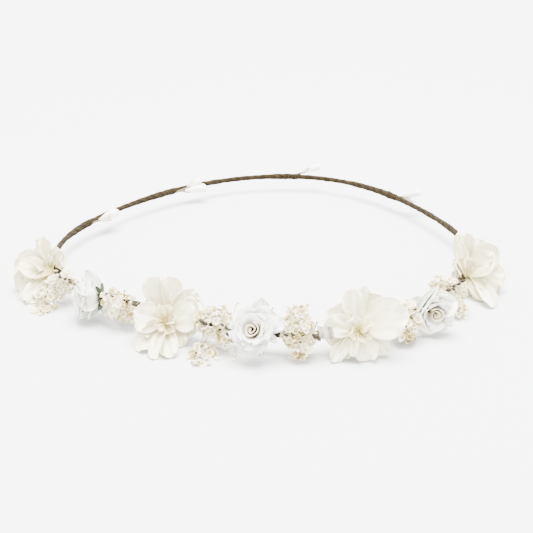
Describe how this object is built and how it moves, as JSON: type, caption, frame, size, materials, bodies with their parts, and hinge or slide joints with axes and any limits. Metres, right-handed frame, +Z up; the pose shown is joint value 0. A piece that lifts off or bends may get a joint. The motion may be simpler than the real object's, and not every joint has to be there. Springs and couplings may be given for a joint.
{
  "type": "flower crown",
  "caption": "Hair garland: a tape-covered wire ring with chiffon blossoms, paper roses and dried sprays on the front half and teardrop bud sprigs on the back.",
  "frame": {"origin": "middle of the head opening, in the plane of the wire ring", "axes": "+Z up through the head opening; -Y towards the flowered front; +X to the viewer's right from the front"},
  "size_m": [0.2201, 0.2011, 0.0275],
  "materials": {
    "steel_wire": "bare florist wire, hidden in the tape",
    "floral_tape": "matt crepe paper, wound in a spiral",
    "binding_tape": "matt crepe paper",
    "sprig_stem": "paper-covered wire",
    "bud": "satin moulded paper",
    "flower_stem": "wrapped wire",
    "chiffon": "sheer ivory chiffon",
    "rose_heart": "matt paper",
    "rose_paper": "matt paper",
    "calyx": "matt green cloth",
    "leaf_paper": "white face, green back",
    "rose_stem": "paper-covered wire",
    "floret": "matt dried floret",
    "dried_stem": "dry plant stem",
    "gauze": "ribbed gauze"
  },
  "bodies": {
    "crown": {"hoop_wire": "steel_wire", "hoop_tape": "floral_tape", "flower_bindings": "binding_tape", "sprig_bindings": "binding_tape", "blossom_1_outer_petals": "chiffon", "blossom_1_middle_petals": "chiffon", "blossom_1_inner_petals": "chiffon", "blossom_1_stem": "flower_stem", "blossom_2_outer_petals": "chiffon", "blossom_2_middle_petals": "chiffon", "blossom_2_inner_petals": "chiffon", "blossom_2_stem": "flower_stem", "blossom_3_outer_petals": "chiffon", "blossom_3_middle_petals": "chiffon", "blossom_3_inner_petals": "chiffon", "blossom_3_stem": "flower_stem", "blossom_4_outer_petals": "chiffon", "blossom_4_middle_petals": "chiffon", "blossom_4_inner_petals": "chiffon", "blossom_4_stem": "flower_stem", "rose_1_heart": "rose_heart", "rose_1_inner_petals": "rose_paper", "rose_1_outer_petals": "rose_paper", "rose_1_calyx": "calyx", "rose_1_leaves": "leaf_paper", "rose_1_stem": "rose_stem", "rose_2_heart": "rose_heart", "rose_2_inner_petals": "rose_paper", "rose_2_outer_petals": "rose_paper", "rose_2_calyx": "calyx", "rose_2_leaves": "leaf_paper", "rose_2_stem": "rose_stem", "rose_3_heart": "rose_heart", "rose_3_inner_petals": "rose_paper", "rose_3_outer_petals": "rose_paper", "rose_3_calyx": "calyx", "rose_3_leaves": "leaf_paper", "rose_3_stem": "rose_stem", "spray_1_florets": "floret", "spray_1_stems": "dried_stem", "spray_2_florets": "floret", "spray_2_stems": "dried_stem", "spray_3_florets": "floret", "spray_3_stems": "dried_stem", "spray_4_florets": "floret", "spray_4_stems": "dried_stem", "spray_5_florets": "floret", "spray_5_stems": "dried_stem", "spray_6_florets": "floret", "spray_6_stems": "dried_stem", "gauze_strip": "gauze"},
    "sprig_1": {"sprig_1_stem": "sprig_stem", "sprig_1_bud": "bud"},
    "sprig_2": {"sprig_2_stem": "sprig_stem", "sprig_2_buds": "bud"},
    "sprig_3": {"sprig_3_stem": "sprig_stem", "sprig_3_bud": "bud"},
    "sprig_4": {"sprig_4_stem": "sprig_stem", "sprig_4_buds": "bud"}
  },
  "joints": [
    {"name": "sprig_1_bend", "type": "hinge", "parent": "crown", "child": "sprig_1", "pos_m": [-0.08355, 0.02833, -0.0002], "axis": [0.8505, -0.526, 0], "range_deg": [0, 75]},
    {"name": "sprig_2_bend", "type": "hinge", "parent": "crown", "child": "sprig_2", "pos_m": [-0.04545, 0.07023, -0.0003], "axis": [0.6008, -0.7994, 0], "range_deg": [0, 60]},
    {"name": "sprig_3_bend", "type": "hinge", "parent": "crown", "child": "sprig_3", "pos_m": [0.01693, 0.09139, 0.002], "axis": [-0.1331, -0.9911, 0], "range_deg": [0, 75]},
    {"name": "sprig_4_bend", "type": "hinge", "parent": "crown", "child": "sprig_4", "pos_m": [0.06732, 0.06035, 0.0005], "axis": [-0.8091, -0.5877, 0], "range_deg": [0, 60]}
  ]
}
